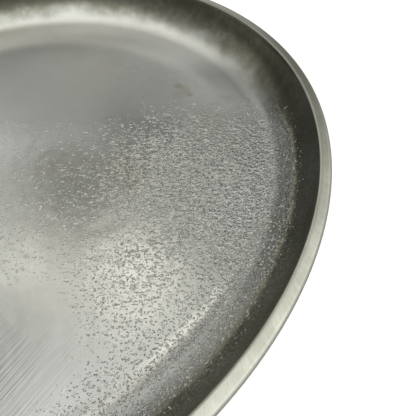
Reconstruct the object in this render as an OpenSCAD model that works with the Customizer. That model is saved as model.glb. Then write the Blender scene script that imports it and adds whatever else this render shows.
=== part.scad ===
// Round cast metal plate with a steep wall and a narrow flat rim, standing on stick-on felt pads.
// The origin is on the plate's axis, at the height of the surface that it stands on. +Z is up.

/* [Casting] */
// Diameter over the outside edge of the rim, before that edge is rounded
plate_d = 300; // [240:1:400]
// Height of the casting, from the flat of its foot ring to the flat of its rim
casting_h = 26; // [24:0.5:34]
// Thickness of the floor over the foot ring
floor_t = 4; // [3.4:0.1:5]
// Width of the rim's top, across it
rim_w = 4.6; // [3.6:0.1:7]
// Lean of the wall outwards from upright, in degrees
wall_angle = 12; // [6:0.5:16]
// Radius of the cove where the floor turns up into the wall
cove_r = 22; // [16:0.5:25]

/* [Rim dressing] */
// Rounding of the rim's edge over the hollow
inner_edge_r = 0.9; // [0.4:0.1:1.4]
// Rounding of the rim's outside edge
outer_edge_r = 0.5; // [0.3:0.1:0.8]
// Width of the band along the outside of the rim that is eased down by hand
eased_w = 1.5; // [1.1:0.1:2]
// Drop of the eased band at the outside edge
eased_drop = 0.2; // [0.1:0.05:0.4]

/* [Foot ring] */
// Width of the flat ring under the plate, outside the relief
foot_w = 30; // [22:1:40]
// Depth of the relief that the ring surrounds
relief_depth = 0.8; // [0.6:0.1:1.2]
// Lean of the relief's wall from upright, in degrees
relief_angle = 30; // [20:1:45]
// Rounding of the two corners of the relief's wall
relief_edge_r = 0.25; // [0.1:0.05:0.3]

/* [Felt pads] */
// Number of pads round the foot ring
pad_count = 4; // [3:1:6]
// Diameter of a pad
pad_d = 20; // [14:0.5:20]
// Thickness of the felt
felt_t = 2.7; // [1.5:0.1:4]
// Rounding of the felt's lower edge
felt_edge_r = 0.5; // [0.2:0.05:0.7]
// Thickness of the adhesive disc between the felt and the casting
adhesive_t = 0.3; // [0.2:0.05:0.5]
// Distance from the side of the felt in to the edge of its adhesive disc
adhesive_inset = 0.6; // [0.3:0.1:1.5]

/* [Hidden] */
$fn = 180;

// Heights over the surface that the plate stands on
foot_z = felt_t + adhesive_t;
relief_z = foot_z + relief_depth;
floor_z = foot_z + floor_t;
rim_z = foot_z + casting_h;

// Even metal all round: the heel follows the cove at the thickness of the floor
heel_r = cove_r + floor_t;

// How far a cut or a fill runs past the face that it belongs to
overrun = 0.1;

// How far the leaning wall moves outwards over a height
function lean(height, angle) = height * tan(angle);

// Corners of the section before they are rounded, as distance from the axis and height
plate_r = plate_d / 2;
rim_outside = [plate_r, rim_z - eased_drop];
rim_crease = [plate_r - eased_w, rim_z];
rim_inside = [plate_r - rim_w, rim_z];
cove_corner = [plate_r - rim_w - lean(rim_z - floor_z, wall_angle), floor_z];
floor_centre = [0, floor_z];
heel_corner = [plate_r - lean(rim_outside.y - foot_z, wall_angle), foot_z];

// The foot ring ends where the heel's arc leaves the flat
foot_outer_r = heel_corner.x - heel_r / tan((90 + wall_angle) / 2);
foot_inner_r = foot_outer_r - foot_w;
foot_inside = [foot_inner_r, foot_z];
relief_corner = [foot_inner_r - lean(relief_depth, relief_angle), relief_z];
relief_centre = [0, relief_z];

// Pads stand in the middle of the foot ring, none of them on the X or Y axis of a set of four
pad_circle_r = (foot_outer_r + foot_inner_r) / 2;
pad_first_share = 1 / 2;

function felt_name(i) = str("felt_pad_", i);
function adhesive_name(i) = str("adhesive_disc_", i);
pads = [1 : pad_count];

function unit(v) = v / norm(v);

// The sliver between a corner and the arc of radius r that rounds it. It is cut from a
// corner that stands out and added to one that turns in, and it runs past both sides of
// the corner by the overrun. Before and after are any points on those two sides.
module corner_sliver(before, corner, after, r) {
  side_a = unit(before - corner);
  side_b = unit(after - corner);
  half_angle = acos(side_a * side_b) / 2;
  tangent = r / tan(half_angle);
  arc_centre = corner + unit(side_a + side_b) * r / sin(half_angle);
  past_share = (r + overrun) / r;
  kite = [corner, corner + side_a * tangent, arc_centre, corner + side_b * tangent];
  difference() {
    polygon([for (point = kite) arc_centre + (point - arc_centre) * past_share]);
    translate(arc_centre) circle(r);
  }
}

// Half section of the casting with sharp corners
module casting_outline() {
  polygon([
    relief_centre, relief_corner, foot_inside, heel_corner, rim_outside,
    rim_crease, rim_inside, cove_corner, floor_centre
  ]);
}

// Half section of the casting as it is dressed
module casting_section() {
  difference() {
    union() {
      casting_outline();
      corner_sliver(rim_inside, cove_corner, floor_centre, cove_r);
      corner_sliver(relief_centre, relief_corner, foot_inside, relief_edge_r);
    }
    corner_sliver(relief_corner, foot_inside, heel_corner, relief_edge_r);
    corner_sliver(foot_inside, heel_corner, rim_outside, heel_r);
    corner_sliver(heel_corner, rim_outside, rim_crease, outer_edge_r);
    corner_sliver(rim_crease, rim_inside, cove_corner, inner_edge_r);
  }
}

// The plate itself, one casting
module dish() {
  color([0.70, 0.69, 0.66]) rotate_extrude() casting_section();
}

// Carries its children to the place of one pad
module at_pad(i) {
  rotate(360 * (i - pad_first_share) / pad_count) translate([pad_circle_r, 0]) children();
}

// Punched disc of felt, softened along its lower edge
module felt_pad(i) {
  felt_r = pad_d / 2;
  axis_foot = [0, 0];
  lower_edge = [felt_r, 0];
  upper_edge = [felt_r, felt_t];
  at_pad(i) color([0.13, 0.13, 0.14]) rotate_extrude() difference() {
    polygon([axis_foot, lower_edge, upper_edge, [0, felt_t]]);
    corner_sliver(axis_foot, lower_edge, upper_edge, felt_edge_r);
  }
}

// Thin disc that sticks one pad to the foot ring
module adhesive_disc(i) {
  at_pad(i) color([0.86, 0.84, 0.76]) translate([0, 0, felt_t])
    cylinder(h = adhesive_t, r = pad_d / 2 - adhesive_inset);
}

dish();
for (i = pads) {
  felt_pad(i);
  adhesive_disc(i);
}
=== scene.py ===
# Looks of the round cast metal plate: camera, studio, metal finishes, casting surface and felt pads.
# Everything is built in metres in the plate's own frame, +Z up, standing on the floor at z = 0.
# The dictionaries give lengths in mm and turns in degrees, anticlockwise from +X if no note says otherwise.
import bpy
import bmesh
import math
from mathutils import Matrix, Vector, noise


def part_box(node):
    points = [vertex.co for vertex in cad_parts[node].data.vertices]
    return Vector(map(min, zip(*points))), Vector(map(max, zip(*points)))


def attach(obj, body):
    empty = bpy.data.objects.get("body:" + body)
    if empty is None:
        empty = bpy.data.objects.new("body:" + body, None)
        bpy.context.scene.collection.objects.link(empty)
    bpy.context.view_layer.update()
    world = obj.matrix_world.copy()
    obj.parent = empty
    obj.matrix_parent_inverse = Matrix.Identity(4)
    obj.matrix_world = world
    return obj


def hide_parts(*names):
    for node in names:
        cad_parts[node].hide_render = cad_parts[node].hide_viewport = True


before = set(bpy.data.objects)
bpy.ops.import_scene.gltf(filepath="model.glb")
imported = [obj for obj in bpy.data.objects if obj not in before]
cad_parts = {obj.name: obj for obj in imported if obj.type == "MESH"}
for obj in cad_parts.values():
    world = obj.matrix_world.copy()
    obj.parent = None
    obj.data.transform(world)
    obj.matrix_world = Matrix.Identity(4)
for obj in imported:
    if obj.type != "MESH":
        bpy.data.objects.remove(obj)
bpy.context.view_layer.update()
mm = 0.001
degree = math.radians(1)
atAxis = 0.001  # a ring with a smaller radius than this many mm is one point
print("frame loaded,", len(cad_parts), "CAD nodes")


# Helpers for shader nodes

def feed(tree, socket, value):
    # another node's output is linked, anything else is written into the socket
    if isinstance(value, bpy.types.NodeSocket):
        tree.links.new(value, socket)
    else:
        socket.default_value = value


def addNode(tree, kind, inputs, **settings):
    node = tree.nodes.new("ShaderNode" + kind)
    for name, value in settings.items():
        setattr(node, name, value)
    for key, value in inputs.items():
        feed(tree, node.inputs[key], value)
    return node


def calc(tree, operation, *values):
    return addNode(tree, "Math", dict(enumerate(values)), operation=operation).outputs[0]


def product(tree, first, *others):
    for other in others:
        first = calc(tree, "MULTIPLY", first, other)
    return first


def vectorCalc(tree, operation, first, second=None):
    inputs = {0: first}
    if second is not None:
        inputs["Scale" if operation == "SCALE" else 1] = second
    outputs = addNode(tree, "VectorMath", inputs, operation=operation).outputs
    return outputs["Value" if operation in ("LENGTH", "DOT_PRODUCT") else "Vector"]


def ramp(tree, value, start, end, low=0.0, high=1.0):
    # eases from low to high while value goes from start to end
    return addNode(tree, "MapRange", {
        "Value": value, "From Min": start, "From Max": end, "To Min": low, "To Max": high,
    }, interpolation_type="SMOOTHSTEP").outputs["Result"]


def rampOver(tree, value, limits, unit, low=0.0, high=1.0):
    return ramp(tree, value, limits[0] * unit, limits[1] * unit, low, high)


def easeBetween(tree, share, low, high):
    return ramp(tree, share, 0.0, 1.0, low, high)


def mixValues(tree, share, first, second):
    return addNode(tree, "Mix", {0: share, 2: first, 3: second}, data_type="FLOAT").outputs[0]


def blendColours(tree, share, first, second):
    return addNode(tree, "Mix", {0: share, 6: first, 7: second}, data_type="RGBA").outputs[2]


def noiseOver(tree, place, perMetre, detail=2.0, roughness=0.6):
    return addNode(tree, "TexNoise", {
        "Vector": place, "Scale": perMetre, "Detail": detail, "Roughness": roughness,
    }).outputs["Fac"]


def objectPlace(tree):
    return addNode(tree, "TexCoord", {}).outputs["Object"]


def aroundAxis(tree, place):
    # distance from the axis, turn round it, and the place's own coordinates
    parts = addNode(tree, "SeparateXYZ", {0: place}).outputs
    flat = addNode(tree, "CombineXYZ", {0: parts["X"], 1: parts["Y"]}).outputs[0]
    return vectorCalc(tree, "LENGTH", flat), calc(tree, "ARCTAN2", parts["Y"], parts["X"]), parts


def near(tree, place, middle, limits, least):
    # one inside the first limit, least beyond the second
    away = vectorCalc(tree, "LENGTH", vectorCalc(tree, "SUBTRACT", place, Vector(middle) * mm))
    return rampOver(tree, away, limits, mm, 1.0, least)


def addBump(tree, shader, height, distance):
    bump = addNode(tree, "Bump", {"Height": height, "Distance": distance})
    feed(tree, shader.inputs["Normal"], bump.outputs["Normal"])


def newGroup(name, inputs, outputs):
    # inputs and outputs are {name: kind}, with kind Vector, Color or Float
    tree = bpy.data.node_groups.new(name, "ShaderNodeTree")
    for side, sockets in (("INPUT", inputs), ("OUTPUT", outputs)):
        for socketName, kind in sockets.items():
            tree.interface.new_socket(socketName, in_out=side, socket_type="NodeSocket" + kind)
    return tree, tree.nodes.new("NodeGroupInput").outputs, tree.nodes.new("NodeGroupOutput").inputs


def placeGroup(tree, group, inputs):
    node = addNode(tree, "Group", {}, node_tree=group)
    for name, value in inputs.items():
        feed(tree, node.inputs[name], value)
    return node.outputs


def newMaterial(name):
    material = bpy.data.materials.new(name)
    material.use_nodes = True
    tree = material.node_tree
    return material, tree, tree.nodes["Principled BSDF"]


# Camera, at the photo's angle

camera = {
    "place": (97.74, -109.47, 118.3),  # over the near part of the rim
    "lookAlong": (0, 0.5487, -0.8360),
    "lens": 25.96, "sensor": 36, "sees": (5, 50000),
}


def placeCamera(c):
    data = bpy.data.cameras.new("photoCamera")
    data.lens = c["lens"]
    data.sensor_width = c["sensor"]
    data.clip_start, data.clip_end = (limit * mm for limit in c["sees"])
    photoCamera = bpy.data.objects.new("photoCamera", data)
    photoCamera.location = Vector(c["place"]) * mm
    photoCamera.rotation_euler = Vector(c["lookAlong"]).to_track_quat("-Z", "Y").to_euler()
    bpy.context.collection.objects.link(photoCamera)
    bpy.context.scene.camera = photoCamera


placeCamera(camera)
bpy.context.scene.view_settings.view_transform = "Standard"
print("camera in place")


# Studio: pale floor, soft room and one soft lamp

studio = {
    "floorRadius": 6000, "floorPoints": 128,
    "floorColour": (0.86, 0.86, 0.85, 1), "floorRoughness": 0.9, "floorGloss": 0.1,
    "whitening": 0.62, "fadedWhite": 0.12,  # how much of the floor's white comes without light, near and far
    "whiteEnds": (600, 2600),  # from the plate, where the white floor turns into the backdrop
    "horizon": 0.155, "zenith": 0.535,  # the room's brightness, all round and overhead
    "darkest": 0.03,
    "tint": (0.975, 1.0, 0.970), "warm": (0.98, 0.965, 0.875),
}

# Soft panels that the metal mirrors
roomPanels = {
    # turn from +Y towards +X, height over the horizon, full within, none beyond, what it adds, warm or not
    "broadRight": (22, 60, 45, 62, 0.77, False),
    "darkLeft": (-32, 59, 24, 41, -0.67, False),
    "lowAhead": (-4, 36, 22, 42, -0.36, False),
    "lowRight": (66, -7, 57, 74, -0.44, False),
    "glowLeft": (-60, 30, 5, 22, 0.62, False),
    "glowAhead": (-18, 13, 9, 16, 0.46, True),
    "horizonAhead": (-24, 8, 4, 20, 0.62, True),
    "above": (-100, 72, 4, 18, 0.16, False),
    "glowMiddle": (4, 31, 1, 11, 0.41, False),
    "lowGlow": (12, 7, 5, 18, 0.32, False),
    "dimAhead": (-24, 30, 1, 9, -0.08, False),
    "glowBeside": (-34, 39, 3, 13, 0.43, False),
    "darkRight": (20, 29, 5, 15, -0.50, False),
    "darkBehind": (-42, 49, 2, 12, -0.45, False),
    "lampNear": (-30, 65, 1, 12, 1.55, True),
    "lampLeft": (-55, 53, 0, 9, 1.00, True),
    "gapLeft": (-40, 56, 3, 12, -0.16, False),
    "gapNear": (-47, 61, 2, 8, -0.20, False),
}

softLamp = {
    "aim": (-0.25, -0.12, 0.96), "distance": 1100, "size": 700,
    "watts": 0.15, "colour": (1, 0.99, 0.97),
}


def makeFloorPaint(s):
    material, tree, shader = newMaterial("paleFloor")
    away = vectorCalc(tree, "LENGTH", objectPlace(tree))
    path = addNode(tree, "LightPath", {}).outputs
    seen = calc(tree, "MAXIMUM", path["Is Camera Ray"], path["Is Glossy Ray"])
    seen = calc(tree, "MAXIMUM", seen, path["Is Transmission Ray"])
    white = rampOver(tree, away, s["whiteEnds"], mm, s["whitening"], s["fadedWhite"])
    feed(tree, shader.inputs["Base Color"], s["floorColour"])
    feed(tree, shader.inputs["Roughness"], s["floorRoughness"])
    feed(tree, shader.inputs["Specular IOR Level"], s["floorGloss"])
    feed(tree, shader.inputs["Emission Color"], (1, 1, 1, 1))
    feed(tree, shader.inputs["Emission Strength"], product(tree, seen, white))
    return material


def buildFloor(s):
    mesh = bmesh.new()
    bmesh.ops.create_circle(mesh, cap_ends=True, radius=s["floorRadius"] * mm, segments=s["floorPoints"])
    data = bpy.data.meshes.new("floor")
    mesh.to_mesh(data)
    mesh.free()
    data.materials.append(makeFloorPaint(s))
    floor = bpy.data.objects.new("floor", data)
    bpy.context.collection.objects.link(floor)


def lightRoom(s, panels):
    world = bpy.data.worlds.new("studioRoom")
    bpy.context.scene.world = world
    world.use_nodes = True
    tree = world.node_tree
    direction = addNode(tree, "TexCoord", {}).outputs["Generated"]
    height = addNode(tree, "SeparateXYZ", {0: direction}).outputs["Z"]
    plainLight = ramp(tree, height, 0.0, 1.0, s["horizon"], s["zenith"])
    warmLight = 0.0
    for turn, rise, full, none, adds, warm in panels.values():
        turn, rise = turn * degree, rise * degree
        aim = Vector((math.sin(turn) * math.cos(rise), math.cos(turn) * math.cos(rise), math.sin(rise)))
        facing = vectorCalc(tree, "DOT_PRODUCT", direction, aim)
        panel = ramp(tree, facing, math.cos(none * degree), math.cos(full * degree), 0.0, adds)
        if warm:
            warmLight = calc(tree, "ADD", warmLight, panel)
        else:
            plainLight = calc(tree, "ADD", plainLight, panel)
    plainLight = calc(tree, "MAXIMUM", plainLight, s["darkest"])
    plainColour = vectorCalc(tree, "SCALE", s["tint"], plainLight)
    warmColour = vectorCalc(tree, "SCALE", s["warm"], warmLight)
    background = tree.nodes["Background"].inputs["Color"]
    feed(tree, background, vectorCalc(tree, "ADD", plainColour, warmColour))


def hangLamp(s):
    data = bpy.data.lights.new("softLamp", "AREA")
    data.shape = "DISK"
    data.size = s["size"] * mm
    data.energy = s["watts"]
    data.color = s["colour"]
    lamp = bpy.data.objects.new("softLamp", data)
    aim = Vector(s["aim"]).normalized()
    lamp.location = aim * s["distance"] * mm
    lamp.rotation_euler = (-aim).to_track_quat("-Z", "Y").to_euler()
    bpy.context.collection.objects.link(lamp)


buildFloor(studio)
lightRoom(studio, roomPanels)
hangLamp(softLamp)
print("studio ready")


# Effects that several finishes share

castGrain = {
    "patchesPerMetre": 42.0, "patchNoise": (0.34, 0.66), "patchCover": (0.82, 1.12),
    "barely": 0.665,  # noise over this stands up where the cover is nothing
    "detail": 1.6, "detailRoughness": 0.5,
    "pitShift": (0.12, 0.43, 0.21), "pitEnds": (0.05, 0.15), "pitHeight": -0.6,
    "fullCover": 0.35,  # grains are lower where the cover is less
}
cloudNoise = (0.32, 0.68)  # noise at which a cloud begins and is full


def makeCastSkin(c):
    # skin that the sand leaves on a casting: islands that stand up from it and pits between them
    tree, given, result = newGroup("castSkin", {
        "Place": "Vector", "Grains per metre": "Float",
        "Cover": "Float",  # more cover gives more and broader islands
        "Spread": "Float",  # how much broader they get with it
        "Edge": "Float",  # how softly an island rises
    }, {"Height": "Float"})
    patches = noiseOver(tree, given["Place"], c["patchesPerMetre"])
    cover = product(tree, given["Cover"], ramp(tree, patches, *c["patchNoise"], *c["patchCover"]))
    less = calc(tree, "MULTIPLY", given["Spread"], -1.0)
    shore = calc(tree, "MULTIPLY_ADD", cover, less, c["barely"])
    summit = calc(tree, "ADD", shore, given["Edge"])
    shiftedPlace = vectorCalc(tree, "ADD", given["Place"], c["pitShift"])
    grains, pits = (
        noiseOver(tree, place, given["Grains per metre"], c["detail"], c["detailRoughness"])
        for place in (given["Place"], shiftedPlace)
    )
    island = ramp(tree, grains, shore, summit)
    pitStart, pitEnd = (calc(tree, "ADD", shore, end) for end in c["pitEnds"])
    pit = ramp(tree, pits, pitStart, pitEnd, 0.0, c["pitHeight"])
    some = ramp(tree, given["Cover"], 0.0, c["fullCover"])
    feed(tree, result["Height"], product(tree, calc(tree, "ADD", island, pit), some))
    return tree


def makeCloudyTone(limits):
    # slow changes of tone, such as handling and polish leave on bare metal
    tree, given, result = newGroup("cloudyTone", {
        "Place": "Vector", "Clouds per metre": "Float", "Light": "Color", "Dull": "Color",
    }, {"Tone": "Color", "Cloud": "Float"})
    cloud = ramp(tree, noiseOver(tree, given["Place"], given["Clouds per metre"], 4.0), *limits)
    feed(tree, result["Tone"], blendColours(tree, cloud, given["Light"], given["Dull"]))
    feed(tree, result["Cloud"], cloud)
    return tree


castSkin = makeCastSkin(castGrain)
cloudyTone = makeCloudyTone(cloudNoise)


def cloudsOver(tree, place, finish, bright="bright", dull="dull", clouds="cloudsPerMetre"):
    return placeGroup(tree, cloudyTone, {
        "Place": place, "Clouds per metre": finish[clouds], "Light": finish[bright], "Dull": finish[dull],
    })


print("shared effects built")


# Metal of the hollow: floor, cove and wall

hollowFinish = {
    "bright": (0.63, 0.625, 0.60, 1), "dull": (0.565, 0.56, 0.53, 1), "cloudsPerMetre": 16.0,
    "roughness": 0.19, "roughnessDull": 0.25,
    "floorHeight": 7.0,
    # wall over the line in the cove
    "wallBright": (0.30, 0.295, 0.255, 1), "wallDull": (0.20, 0.195, 0.16, 1), "wallCloudsPerMetre": 60.0,
    "wallRoughness": 0.36, "wallFrom": 137.0, "wallTo": 140.2,
    "wallSpecksPerMetre": 1500.0, "speckNoise": (0.38, 0.66), "wallSpecks": (0.68, 1.35),
    # towards +Y the wall turns olive, darkens more softly and loses specks and line, and eases back before -X
    "fade": (-8.0, 20.0), "fadeBack": (175.0, 125.0), "fadedWallFrom": 129.0,
    "wallOlive": (0.185, 0.175, 0.13, 1), "oliveNoise": (0.3, 0.62), "olivePatches": (0.25, 0.9),
    # line in the cove
    "lineColour": (0.46, 0.445, 0.34, 1), "lineRadius": 138.3, "lineWidths": (1.4, 0.2),
    "lineNoise": (0.38, 0.56), "lineBreaks": (0.25, 1.0), "lineShares": (0.7, 0.06),
    "wanderPerMetre": 55.0, "wander": 3.2, "fadedWander": 4.0,
    # painted shade: darker in the cove towards +X, where the cove mirrors a dark part of the room
    "tarnish": (129.0, 134.0), "paintedCoveShadeTurns": ((-56.0, -14.0), (36.0, 10.0)), "paintedCoveShadeTone": 0.46,
    # painted highlight: lighter in the cove towards +Y, where the metal is also rougher, measured along Y and
    # from the axis
    "roughAndHighlightY": (54.0, 92.0), "roughAndHighlightRing": (90.0, 109.0), "rubbedRoughness": 0.42, "paintedHighlightTone": 1.60,
    "paintedHighlightTurns": (50.0, 80.0), "paintedHighlightTo": (126.0, 134.0), "paintedHighlightSoftly": 12.0,
    # stains: x, y, width, strength
    "stainColour": (0.36, 0.31, 0.22, 1), "raggedPerMetre": 210.0, "ragged": 1.4, "stainEdges": (0.6, 0.1),
    "stains": (
        (84, 47, 13, 0.26), (80, 52, 5, 0.42), (87, 44, 4, 0.40), (57, -17, 34, 0.22), (26, -11, 30, 0.20),
        (62, -24, 12, 0.16), (111, 4, 3.2, 0.9), (105, 1, 4, 0.35), (97, 20, 20, 0.14),
    ),
    # marks left by wiping, on a patch that use has smoothed: middle, full inside and none outside, least
    "worn": ((28, -94, 7), (12.0, 42.0), 0.0),
    "streakTurn": 56.0, "streaksPerMetre": 900.0, "streakLength": 45.0, "streakHeight": 0.09,
    # how much grain there is: a thin place, less over the line, and none far towards +Y, where it is duller
    "thin": ((32, 14, 7), (20.0, 58.0), 0.0), "thinned": 0.45,
    "coverEnds": (138.0, 143.0), "wallCover": 0.1,
    "farY": (-12.0, 58.0), "farCover": 0.0, "dullY": (-12.0, 40.0), "farRougher": 0.10,
    "toothPerMetre": 2300.0, "tooth": 0.02,
    "bareTone": (0.88, 0.87, 0.83, 1), "bareRoughness": 0.75, "bareHeights": (0.25, 0.7),
}

# Kinds of grain in the hollow. Each lies in part of a ring, round a middle or in both, and may end further out.
# A stretch under 1 draws the grains out along that axis. Spread is how much broader more cover makes them.
# Bare grains have dull tops, which look light where the metal mirrors a dark part of the room.
hollowGrains = {
    "pebbles": {
        "perMetre": 800.0, "stretch": (0.72, 1.0, 1.0), "height": 0.24, "spread": 0.24, "edge": 0.22,
        "around": ((114, 0, 7), (44.0, 86.0), 0.2), "ring": (100, 120), "turns": ((-42, -16), (40, 12)),
    },
    "darkDashes": {
        "perMetre": 1150.0, "stretch": (0.8, 1.0, 1.0), "height": 0.21, "spread": 0.08, "edge": 0.11,
        "around": ((66, -72, 7), (6.0, 34.0), 0.14), "ring": (106, 122), "turns": ((-76, -56), (12, -16)),
    },
    "coveDots": {
        "perMetre": 1020.0, "stretch": (1.0, 1.0, 1.0), "height": 0.12, "spread": 0.10, "edge": 0.10,
        "ring": (122, 131), "turns": ((-72, -54), (30, 4)), "bare": 0.8,
    },
    "lightDashes": {
        "perMetre": 760.0, "stretch": (0.55, 1.0, 1.0), "height": 0.10, "spread": 0.085, "edge": 0.08,
        "around": ((112, -6, 7), (36.0, 92.0), 0.45), "until": (120, 131), "bare": 0.75,
    },
}


def hollowMasks(tree, place, finish):
    radius, turn, parts = aroundAxis(tree, place)
    masks = {"radius": radius, "turn": turn, "y": parts["Y"]}
    masks["ragged"] = noiseOver(tree, place, finish["raggedPerMetre"], 3.0, 0.65)
    masks["faded"] = faded = product(
        tree, rampOver(tree, turn, finish["fade"], degree), rampOver(tree, turn, finish["fadeBack"], degree))
    wander = calc(tree, "SUBTRACT", noiseOver(tree, place, finish["wanderPerMetre"], 3.0), 0.5)
    wanderMore = easeBetween(tree, faded, 1.0, finish["fadedWander"])
    wander = product(tree, wander, finish["wander"] * mm, wanderMore)
    masks["wandering"] = wandering = calc(tree, "ADD", radius, wander)
    wallFrom = easeBetween(tree, faded, finish["wallFrom"] * mm, finish["fadedWallFrom"] * mm)
    masks["onWall"] = ramp(tree, wandering, wallFrom, finish["wallTo"] * mm)
    # the cove towards +Y, which is rougher and whose colour carries a painted highlight
    masks["rubbedCove"] = rubbed = product(
        tree, rampOver(tree, parts["Y"], finish["roughAndHighlightY"], mm),
        rampOver(tree, radius, finish["roughAndHighlightRing"], mm))
    paintedHighlightTo = rampOver(tree, turn, finish["paintedHighlightTurns"], degree, *(end * mm for end in finish["paintedHighlightTo"]))
    beyond = calc(tree, "SUBTRACT", radius, paintedHighlightTo)
    # painted highlight: where the cove's colour is lifted to brighten the lamps it mirrors
    masks["bright"] = product(tree, rubbed, ramp(tree, beyond, 0.0, finish["paintedHighlightSoftly"] * mm, 1.0, 0.0))
    # painted shade in the cove towards +X, for the dark part of the room it mirrors
    masks["tarnished"] = product(
        tree, rampOver(tree, radius, finish["tarnish"], mm),
        *(rampOver(tree, turn, limits, degree) for limits in finish["paintedCoveShadeTurns"]))
    return masks


def hollowTone(tree, place, masks, floorTone, finish):
    faded, ragged = masks["faded"], masks["ragged"]
    wallTone = cloudsOver(tree, place, finish, "wallBright", "wallDull", "wallCloudsPerMetre")["Tone"]
    olive = product(tree, faded, ramp(tree, ragged, *finish["oliveNoise"], *finish["olivePatches"]))
    specks = noiseOver(tree, place, finish["wallSpecksPerMetre"])
    specks = ramp(tree, specks, *finish["speckNoise"], *finish["wallSpecks"])
    specks = mixValues(tree, faded, specks, 1.0)
    wallTone = vectorCalc(tree, "SCALE", blendColours(tree, olive, wallTone, finish["wallOlive"]), specks)
    tone = blendColours(tree, masks["onWall"], floorTone, wallTone)
    # painted shade darkens the cove towards +X
    tone = vectorCalc(tree, "SCALE", tone, easeBetween(tree, masks["tarnished"], 1.0, finish["paintedCoveShadeTone"]))
    # painted highlight lightens the cove towards +Y
    tone = vectorCalc(tree, "SCALE", tone, easeBetween(tree, masks["bright"], 1.0, finish["paintedHighlightTone"]))
    fromLine = calc(tree, "SUBTRACT", masks["wandering"], finish["lineRadius"] * mm)
    fromLine = calc(tree, "ABSOLUTE", fromLine)
    line = product(
        tree, rampOver(tree, fromLine, finish["lineWidths"], mm),
        ramp(tree, ragged, *finish["lineNoise"], *finish["lineBreaks"]),
        easeBetween(tree, faded, *finish["lineShares"]))
    tone = blendColours(tree, line, tone, finish["lineColour"])
    for x, y, across, strength in finish["stains"]:
        middle = Vector((x, y, finish["floorHeight"])) * mm
        away = vectorCalc(tree, "LENGTH", vectorCalc(tree, "SUBTRACT", place, middle))
        uneven = product(tree, calc(tree, "SUBTRACT", ragged, 0.5), across * finish["ragged"] * mm)
        away = calc(tree, "ADD", away, uneven)
        stain = rampOver(tree, away, finish["stainEdges"], across * mm, 0.0, strength)
        tone = blendColours(tree, stain, tone, finish["stainColour"])
    return tone


def hollowRoughness(tree, masks, cloud, finish):
    rough = easeBetween(tree, cloud, finish["roughness"], finish["roughnessDull"])
    farRougher = rampOver(tree, masks["y"], finish["dullY"], mm, 0.0, finish["farRougher"])
    rough = calc(tree, "ADD", rough, farRougher)
    rough = mixValues(tree, masks["rubbedCove"], rough, finish["rubbedRoughness"])
    return mixValues(tree, masks["onWall"], rough, finish["wallRoughness"])


def grainPlace(tree, place, masks, grain):
    there = 0.0
    if "ring" in grain:
        there = product(
            tree, rampOver(tree, masks["radius"], grain["ring"], mm),
            *(rampOver(tree, masks["turn"], limits, degree) for limits in grain["turns"]))
    if "around" in grain:
        there = calc(tree, "MAXIMUM", there, near(tree, place, *grain["around"]))
    if "until" in grain:
        there = product(tree, there, rampOver(tree, masks["radius"], grain["until"], mm, 1.0, 0.0))
    return there


def hollowSkin(tree, place, masks, worn, finish, grains):
    # height in mm, and how bare the grains' tops are
    thinned = calc(tree, "MULTIPLY_ADD", near(tree, place, *finish["thin"]), -finish["thinned"], 1.0)
    cover = product(
        tree, rampOver(tree, masks["y"], finish["farY"], mm, 1.0, finish["farCover"]),
        rampOver(tree, masks["radius"], finish["coverEnds"], mm, 1.0, finish["wallCover"]),
        calc(tree, "SUBTRACT", 1.0, worn), thinned)
    height = product(tree, noiseOver(tree, place, finish["toothPerMetre"]), finish["tooth"])
    bare = 0.0
    for grain in grains.values():
        skin = placeGroup(tree, castSkin, {
            "Place": vectorCalc(tree, "MULTIPLY", place, grain["stretch"]),
            "Grains per metre": grain["perMetre"], "Spread": grain["spread"], "Edge": grain["edge"],
            "Cover": product(tree, cover, grainPlace(tree, place, masks, grain)),
        })["Height"]
        height = calc(tree, "ADD", height, product(tree, skin, grain["height"]))
        if "bare" in grain:
            bare = calc(tree, "MAXIMUM", bare, ramp(tree, skin, *finish["bareHeights"], 0.0, grain["bare"]))
    return height, bare


def makeHollowMetal(finish, grains):
    material, tree, shader = newMaterial("hollowMetal")
    place = objectPlace(tree)
    masks = hollowMasks(tree, place, finish)
    worn = near(tree, place, *finish["worn"])
    floor = cloudsOver(tree, place, finish)
    tone = hollowTone(tree, place, masks, floor["Tone"], finish)
    rough = hollowRoughness(tree, masks, floor["Cloud"], finish)
    height, bare = hollowSkin(tree, place, masks, worn, finish, grains)
    along = addNode(tree, "VectorRotate", {
        "Vector": place, "Angle": -finish["streakTurn"] * degree,
    }, rotation_type="Z_AXIS").outputs[0]
    along = vectorCalc(tree, "MULTIPLY", along, (finish["streakLength"], finish["streaksPerMetre"], 0))
    streaks = product(tree, noiseOver(tree, along, 1.0, 2.0, 0.55), worn, finish["streakHeight"])
    feed(tree, shader.inputs["Base Color"], blendColours(tree, bare, tone, finish["bareTone"]))
    feed(tree, shader.inputs["Metallic"], 1.0)
    feed(tree, shader.inputs["Roughness"], mixValues(tree, bare, rough, finish["bareRoughness"]))
    addBump(tree, shader, calc(tree, "ADD", height, streaks), mm)
    return material


# Metal of the rim, dressed on a belt and eased along the outside

rimFinish = {
    "bright": (0.88, 0.865, 0.765, 1), "dull": (0.70, 0.685, 0.59, 1), "cloudsPerMetre": 70.0,
    "roughness": 0.36, "easedRoughness": 0.42,
    "eased": (148.8, 149.3), "easedDarker": (0.50, 0.49, 0.45, 1),
    "paintedFarShade": (0.43, 0.41, 0.355, 1), "paintedFarShadeShare": 0.9,  # painted shade: darker towards +Y, where the rim mirrors the dark far side of the room, and bright again before -X
    "paintedFarShadeTurns": (-28.0, 26.0), "paintedFarShadeBack": (175.0, 125.0),
    "scratched": (0.58, 0.565, 0.48, 1), "scratchShare": 0.5, "scratchNoise": (0.4, 0.7),
    "scratchesPerRadian": 300.0, "slantPerMetre": 1300.0, "runPerMetre": 260.0, "scratchHeight": 0.025,
}


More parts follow.
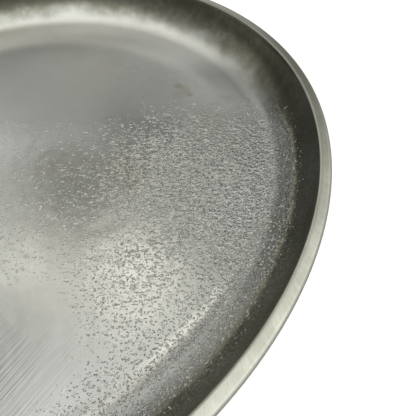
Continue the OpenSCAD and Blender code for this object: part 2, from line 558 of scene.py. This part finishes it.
def makeRimMetal(finish):
    material, tree, shader = newMaterial("rimMetal")
    place = objectPlace(tree)
    radius, turn, _ = aroundAxis(tree, place)
    # fine scratches that run out from the axis, with a slant
    slant = calc(tree, "MULTIPLY", radius, finish["slantPerMetre"])
    across = addNode(tree, "CombineXYZ", {
        0: calc(tree, "MULTIPLY_ADD", turn, finish["scratchesPerRadian"], slant),
        1: calc(tree, "MULTIPLY", radius, finish["runPerMetre"]),
    }).outputs[0]
    scratches = noiseOver(tree, across, 1.0, 3.0)
    tone = cloudsOver(tree, place, finish)["Tone"]
    worn = ramp(tree, scratches, *finish["scratchNoise"], 0.0, finish["scratchShare"])
    tone = blendColours(tree, worn, tone, finish["scratched"])
    # painted shade on the rim towards +Y, for the dark far side of the room that it mirrors
    farShaded = product(
        tree, rampOver(tree, turn, finish["paintedFarShadeTurns"], degree, 0.0, finish["paintedFarShadeShare"]),
        rampOver(tree, turn, finish["paintedFarShadeBack"], degree))
    tone = blendColours(tree, farShaded, tone, finish["paintedFarShade"])
    eased = rampOver(tree, radius, finish["eased"], mm)
    feed(tree, shader.inputs["Base Color"], blendColours(tree, eased, tone, finish["easedDarker"]))
    feed(tree, shader.inputs["Metallic"], 1.0)
    rough = easeBetween(tree, eased, finish["roughness"], finish["easedRoughness"])
    feed(tree, shader.inputs["Roughness"], rough)
    addBump(tree, shader, scratches, finish["scratchHeight"] * mm)
    return material


# Metal of the outside and of the relief, as cast

outsideFinish = {
    "bright": (0.55, 0.545, 0.52, 1), "dull": (0.42, 0.415, 0.385, 1), "cloudsPerMetre": 28.0,
    "roughness": 0.34, "roughnessDull": 0.46,
    "grainsPerMetre": 420.0, "cover": 0.9, "spread": 0.2, "edge": 0.16, "grainHeight": 0.09,
    "toothPerMetre": 2100.0, "tooth": 0.3,  # share of the grains' height
}


def makeOutsideMetal(finish):
    material, tree, shader = newMaterial("outsideMetal")
    place = objectPlace(tree)
    tone = cloudsOver(tree, place, finish)
    feed(tree, shader.inputs["Base Color"], tone["Tone"])
    feed(tree, shader.inputs["Metallic"], 1.0)
    rough = easeBetween(tree, tone["Cloud"], finish["roughness"], finish["roughnessDull"])
    feed(tree, shader.inputs["Roughness"], rough)
    skin = placeGroup(tree, castSkin, {
        "Place": place, "Grains per metre": finish["grainsPerMetre"], "Cover": finish["cover"],
        "Spread": finish["spread"], "Edge": finish["edge"],
    })["Height"]
    tooth = product(tree, noiseOver(tree, place, finish["toothPerMetre"]), finish["tooth"])
    addBump(tree, shader, calc(tree, "ADD", skin, tooth), finish["grainHeight"] * mm)
    return material


# Metal of the foot ring, faced on a lathe, so its marks run round the axis

footFinish = {
    "bright": (0.62, 0.615, 0.585, 1), "dull": (0.53, 0.525, 0.49, 1), "cloudsPerMetre": 35.0,
    "roughness": 0.30, "roughnessDull": 0.4,
    "turningsPerMetre": 1400.0, "turningHeight": 0.015,
}


def makeFootMetal(finish):
    material, tree, shader = newMaterial("footMetal")
    place = objectPlace(tree)
    radius, *_ = aroundAxis(tree, place)
    tone = cloudsOver(tree, place, finish)
    feed(tree, shader.inputs["Base Color"], tone["Tone"])
    feed(tree, shader.inputs["Metallic"], 1.0)
    rough = easeBetween(tree, tone["Cloud"], finish["roughness"], finish["roughnessDull"])
    feed(tree, shader.inputs["Roughness"], rough)
    outwards = calc(tree, "MULTIPLY", radius, finish["turningsPerMetre"])
    outwards = addNode(tree, "CombineXYZ", {0: outwards}).outputs[0]
    addBump(tree, shader, noiseOver(tree, outwards, 1.0, 3.0), finish["turningHeight"] * mm)
    return material


castingMaterials = {
    "hollow": makeHollowMetal(hollowFinish, hollowGrains),
    "rim": makeRimMetal(rimFinish),
    "outside": makeOutsideMetal(outsideFinish),
    "foot": makeFootMetal(footFinish),
}
print("metal finishes ready")


# The casting, as rings of points that follow its section

casting = {
    # section
    "plateRadius": 150.0, "rimHeight": 29.0, "floorHeight": 7.0, "footHeight": 3.0, "reliefHeight": 3.8,
    "rimWidth": 4.6, "easedWidth": 1.5, "easedDrop": 0.2, "wallAngle": 12.0, "reliefAngle": 30.0,
    "coveRadius": 22.0, "heelRadius": 26.0, "footOuter": 123.46, "footWidth": 30.0,
    "innerEdge": 0.9, "crease": 0.3, "outerEdge": 0.55, "footEdge": 0.25,
    # spacing of the rings
    "floorRings": 1.45, "coveRings": 1.1, "edgeRings": 0.75, "rimRings": 0.6,
    "wallRings": 2.4, "heelRings": 2.2, "footRings": 0.6, "reliefRings": 3.2, "leastSteps": 4,
    # most points around a ring, the least, and the width of a face over which the count doubles
    "above": 720, "below": 360, "leastAround": 45, "widestFace": 1.11701,
    # what sand and hand work leave in the shape: slow swell, and small lumps in the hollow
    "swell": 0.16, "swellPerMetre": 16.0, "underSwell": 0.08,
    "fineSwell": 0.4, "fineSwellTimes": 2.7, "fineSwellShift": (7, 3, 1),
    "lumps": 0.05, "lumpsPerMetre": 210.0, "fineLumps": 0.5, "fineLumpsTimes": 2.0,
    "rimDent": 0.04, "rimDentsPerMetre": 140.0,
    # towards +Y the cove begins earlier and turns up more softly: rise, distances from the axis, turns
    "softRise": 2.0, "softFrom": 110.0, "softFull": 135.0, "softEnd": 149.0,
    "softAim": 62.0, "softHalf": 26.0, "softEnds": 58.0,
}
finishNames = list(castingMaterials)


def sectionCorners(c):
    # radius, height, rounding and its finish, then up to the next corner: finish, ring spacing, most points
    lean = math.tan(c["wallAngle"] * degree)
    rimInside = c["plateRadius"] - c["rimWidth"]
    crease = c["plateRadius"] - c["easedWidth"]
    rimOutside = c["rimHeight"] - c["easedDrop"]
    cove = rimInside - (c["rimHeight"] - c["floorHeight"]) * lean
    heel = c["plateRadius"] - (rimOutside - c["footHeight"]) * lean
    footInner = c["footOuter"] - c["footWidth"]
    relief = footInner - (c["reliefHeight"] - c["footHeight"]) * math.tan(c["reliefAngle"] * degree)
    above, below = c["above"], c["below"]
    return [
        (0, c["floorHeight"], 0, "hollow", "hollow", c["floorRings"], above),
        (cove, c["floorHeight"], c["coveRadius"], "hollow", "hollow", c["coveRings"], above),
        (rimInside, c["rimHeight"], c["innerEdge"], "rim", "rim", c["edgeRings"], above),
        (crease, c["rimHeight"], c["crease"], "rim", "rim", c["rimRings"], above),
        (c["plateRadius"], rimOutside, c["outerEdge"], "rim", "outside", c["wallRings"], below),
        (heel, c["footHeight"], c["heelRadius"], "outside", "foot", c["heelRings"], below),
        (footInner, c["footHeight"], c["footEdge"], "foot", "foot", c["footRings"], below),
        (relief, c["reliefHeight"], c["footEdge"], "rim", "outside", c["reliefRings"], below),
        (0, c["reliefHeight"], 0, "outside", "outside", 0, below),
    ]


def roundedSection(corners, leastSteps):
    # the section as rings: place in it, finish of the band that starts there, most points around
    points = []
    for i, (radius, height, rounding, roundedFinish, finish, spacing, around) in enumerate(corners):
        corner = Vector((radius, height))
        if not rounding:
            points.append((corner, finish, around, spacing))
            continue
        before = (Vector(corners[i - 1][:2]) - corner).normalized()
        after = (Vector(corners[i + 1][:2]) - corner).normalized()
        half = before.angle(after) / 2
        centre = corner + (before + after).normalized() * rounding / math.sin(half)
        first = corner + before * rounding / math.tan(half) - centre
        turn = first.angle_signed(corner + after * rounding / math.tan(half) - centre)
        steps = max(leastSteps, round(abs(turn) * rounding / spacing))
        aroundBefore = corners[i - 1][-1]
        for k in range(steps + 1):
            cos, sin = math.cos(-turn * k / steps), math.sin(-turn * k / steps)
            place = centre + Vector((first.x * cos - first.y * sin, first.x * sin + first.y * cos))
            if k < steps:
                points.append((place, roundedFinish, aroundBefore, 0))
            else:
                points.append((place, finish, around, spacing))
    rings = []
    for (here, finish, around, spacing), (there, *_) in zip(points, points[1:]):
        parts = max(1, math.ceil((there - here).length / spacing)) if spacing else 1
        rings += [(here.lerp(there, k / parts), finish, around) for k in range(parts)]
    rings.append(points[-1][:3])
    return rings


def pointsAround(radius, most, c):
    if radius < atAxis:
        return 1
    count = c["leastAround"]
    while count < most and 2 * math.pi * radius / count > c["widestFace"]:
        count *= 2
    return count


def ease(start, end, value):
    share = min(max((value - start) / (end - start), 0), 1)
    return share * share * (3 - 2 * share)


def surfaceOffset(c, finish, place, radius):
    # how far the skin stands from the plain section, in mm
    if finish == "rim":
        return -c["rimDent"] * abs(noise.noise(place * c["rimDentsPerMetre"]))
    slow = place * c["swellPerMetre"]
    fine = slow * c["fineSwellTimes"] + Vector(c["fineSwellShift"])
    swell = noise.noise(slow) + c["fineSwell"] * noise.noise(fine)
    if finish != "hollow":
        return -c["underSwell"] * abs(swell)
    quick = place * c["lumpsPerMetre"]
    lump = noise.noise(quick) + c["fineLumps"] * noise.noise(quick * c["fineLumpsTimes"])
    turned = abs((math.degrees(math.atan2(place.y, place.x)) - c["softAim"] + 180) % 360 - 180)
    soft = ease(c["softEnds"], c["softHalf"], turned)
    soft *= ease(c["softFrom"], c["softFull"], radius) * ease(c["softEnd"], c["softFull"], radius)
    return c["swell"] * swell + c["lumps"] * lump + c["softRise"] * soft


def ringPoints(c, point, out, finish, count):
    points = []
    for k in range(count):
        angle = 2 * math.pi * k / count
        heading = Vector((math.cos(angle), math.sin(angle), 0))
        place = (heading * point.x + Vector((0, 0, point.y))) * mm
        offset = surfaceOffset(c, finish, place, point.x)
        radius, height = point.x + out.x * offset, point.y + out.y * offset
        points.append((heading * radius + Vector((0, 0, height))) * mm)
    return points


def bandFaces(a, countA, b, countB):
    # faces between rings that start at points a and b, with counts alike or one of them twice the other
    if countA == 1:
        return [(a, b + k, b + (k + 1) % countB) for k in range(countB)]
    if countB == 1:
        return [(a + k, b, a + (k + 1) % countA) for k in range(countA)]
    if countA == countB:
        nexts = [(k + 1) % countA for k in range(countA)]
        return [(a + k, b + k, b + after, a + after) for k, after in enumerate(nexts)]
    faces = []
    for k in range(min(countA, countB)):
        if countB > countA:
            here, there = a + k, a + (k + 1) % countA
            low, middle, high = b + 2 * k, b + 2 * k + 1, b + (2 * k + 2) % countB
            faces += [(here, low, middle), (here, middle, there), (there, middle, high)]
        else:
            here, there = b + k, b + (k + 1) % countB
            low, middle, high = a + 2 * k, a + 2 * k + 1, a + (2 * k + 2) % countA
            faces += [(low, here, middle), (here, there, middle), (middle, there, high)]
    return faces


def newPiece(name, data, materials):
    for material in materials:
        data.materials.append(material)
    data.polygons.foreach_set("use_smooth", [True] * len(data.polygons))
    piece = bpy.data.objects.new(name, data)
    bpy.context.collection.objects.link(piece)
    return piece


def buildCasting(c):
    rings = roundedSection(sectionCorners(c), c["leastSteps"])
    vertices, faces, finishes = [], [], []
    startBefore, countBefore = 0, 0
    for i, (point, finish, around) in enumerate(rings):
        before, after = rings[max(i - 1, 0)][0], rings[min(i + 1, len(rings) - 1)][0]
        tangent = (after - before).normalized()
        start, count = len(vertices), pointsAround(point.x, around, c)
        vertices += ringPoints(c, point, Vector((-tangent.y, tangent.x)), finish, count)
        if i > 0:
            band = bandFaces(startBefore, countBefore, start, count)
            faces += band
            finishes += [finishNames.index(rings[i - 1][1])] * len(band)
        startBefore, countBefore = start, count
    data = bpy.data.meshes.new("castPlate")
    data.from_pydata(vertices, [], faces)
    piece = newPiece("castPlate", data, castingMaterials.values())
    data.polygons.foreach_set("material_index", finishes)
    data.update()
    return piece


castPlate = buildCasting(casting)
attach(castPlate, "root")
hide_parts("dish")
print("casting built,", len(castPlate.data.polygons), "faces")


# Pressed felt of the pads

padFelt = {
    "dark": (0.030, 0.030, 0.033, 1), "light": (0.085, 0.085, 0.09, 1), "clumpsPerMetre": 180.0,
    "roughness": 0.95, "sheen": 0.35,
    "fibresPerMetre": 2600.0, "fibreHeight": 0.12, "bendsPerMetre": 500.0, "bend": 3.0,
    "stretches": ((0.2, 1.0, 1.0), (1.0, 0.2, 1.0), (0.7, 0.7, 1.6)),
    "fleck": (0.22, 0.21, 0.20, 1), "fleckShare": 0.6, "fleckNoise": (0.62, 0.78),
}


def makeFelt(finish):
    material, tree, shader = newMaterial("pressedFelt")
    place = objectPlace(tree)
    bend = addNode(tree, "TexNoise", {"Vector": place, "Scale": finish["bendsPerMetre"], "Detail": 2.0})
    bend = vectorCalc(tree, "SCALE", bend.outputs["Color"], finish["bend"] * mm)
    bent = vectorCalc(tree, "ADD", place, bend)
    fibre = 0.0
    for stretch in finish["stretches"]:
        stretched = vectorCalc(tree, "MULTIPLY", bent, stretch)
        layer = noiseOver(tree, stretched, finish["fibresPerMetre"])
        fibre = calc(tree, "MAXIMUM", fibre, layer)
    clumps = cloudsOver(tree, place, finish, "light", "dark", "clumpsPerMetre")["Tone"]
    flecks = ramp(tree, fibre, *finish["fleckNoise"], 0.0, finish["fleckShare"])
    feed(tree, shader.inputs["Base Color"], blendColours(tree, flecks, clumps, finish["fleck"]))
    feed(tree, shader.inputs["Roughness"], finish["roughness"])
    feed(tree, shader.inputs["Sheen Weight"], finish["sheen"])
    addBump(tree, shader, fibre, finish["fibreHeight"] * mm)
    return material


# Adhesive film between pad and casting, with small bubbles in it

adhesiveFilm = {
    "clear": (0.78, 0.75, 0.64, 1), "cloudy": (0.66, 0.62, 0.50, 1), "cloudsPerMetre": 240.0,
    "roughness": 0.42,
    "bubble": (0.86, 0.84, 0.77, 1), "bubblesPerMetre": 1500.0,
    "bubbleEdge": (0.28, 0.12), "bubbleHeight": 0.03,
}


def makeAdhesive(finish):
    material, tree, shader = newMaterial("adhesiveFilm")
    place = objectPlace(tree)
    tone = cloudsOver(tree, place, finish, "clear", "cloudy")["Tone"]
    bubbles = addNode(tree, "TexVoronoi", {"Vector": place, "Scale": finish["bubblesPerMetre"]})
    bubble = ramp(tree, bubbles.outputs["Distance"], *finish["bubbleEdge"])
    feed(tree, shader.inputs["Base Color"], blendColours(tree, bubble, tone, finish["bubble"]))
    feed(tree, shader.inputs["Roughness"], finish["roughness"])
    addBump(tree, shader, bubble, finish["bubbleHeight"] * mm)
    return material


# Felt pads, punched, with dents underneath and fuzz on their sides

feltPad = {
    "edge": 0.5, "upperEdge": 0.15, "edgeSteps": 6,
    "around": 144, "underRings": 14, "lastUnderRing": 0.3, "sideRings": 6, "topRings": 8,
    "fuzz": 0.07, "fuzzPerMetre": 900.0, "dents": 0.05, "dentsPerMetre": 260.0,
    "underside": 0.05, "top": 0.01,  # what counts as the underside and as the top
}


def quarterArc(middle, rounding, first, steps):
    x, y = middle
    angles = [(first + 90 * k / steps) * degree for k in range(steps + 1)]
    return [(x + rounding * math.cos(angle), y + rounding * math.sin(angle)) for angle in angles]


def padSection(pad, radius, thickness):
    # distance from the pad's axis and height, from the middle of the underside to the middle of the top
    low, high = pad["edge"], pad["upperEdge"]
    side = thickness - low - high
    points = [(radius * k / pad["underRings"], 0.0) for k in range(pad["underRings"] - 1)]
    points.append((radius - low - pad["lastUnderRing"], 0.0))
    points += quarterArc((radius - low, low), low, -90, pad["edgeSteps"])
    points += [(radius, low + side * k / pad["sideRings"]) for k in range(1, pad["sideRings"])]
    points += quarterArc((radius - high, thickness - high), high, 0, pad["edgeSteps"])
    points += [(radius * (1 - k / pad["topRings"]), thickness) for k in range(1, pad["topRings"] + 1)]
    return points


def buildPad(pad, name, node, material):
    low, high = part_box(node)
    middle = (low + high) / 2
    thickness = (high.z - low.z) / mm
    mesh = bmesh.new()
    rings = []
    for radius, height in padSection(pad, (high.x - low.x) / 2 / mm, thickness):
        ring = []
        for k in range(1 if radius < atAxis else pad["around"]):
            angle = 2 * math.pi * k / pad["around"]
            cos, sin = math.cos(angle), math.sin(angle)
            place = Vector((middle.x + radius * mm * cos, middle.y + radius * mm * sin, low.z + height * mm))
            if height < pad["underside"]:
                lift = pad["dents"] * abs(noise.noise(place * pad["dentsPerMetre"]))
                place.z += lift * mm
            elif height < thickness - pad["top"]:
                inwards = pad["fuzz"] * abs(noise.noise(place * pad["fuzzPerMetre"]))
                place -= Vector((cos, sin, 0)) * inwards * mm
            ring.append(mesh.verts.new(place))
        rings.append(ring)
    for here, there in zip(rings, rings[1:]):
        for k in range(pad["around"]):
            corners = [here[k % len(here)], here[(k + 1) % len(here)]]
            corners += [there[(k + 1) % len(there)], there[k % len(there)]]
            mesh.faces.new(list(dict.fromkeys(corners)))
    bmesh.ops.recalc_face_normals(mesh, faces=mesh.faces[:])
    data = bpy.data.meshes.new(name)
    mesh.to_mesh(data)
    mesh.free()
    piece = newPiece(name, data, [material])
    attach(piece, "root")
    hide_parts(node)


felt = makeFelt(padFelt)
film = makeAdhesive(adhesiveFilm)
for node in sorted(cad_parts):
    if node.startswith("felt_pad_"):
        buildPad(feltPad, "feltPad" + node[-1], node, felt)
    if node.startswith("adhesive_disc_"):
        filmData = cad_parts[node].data
        filmData.materials.clear()
        filmData.materials.append(film)
print("pads and adhesive ready")
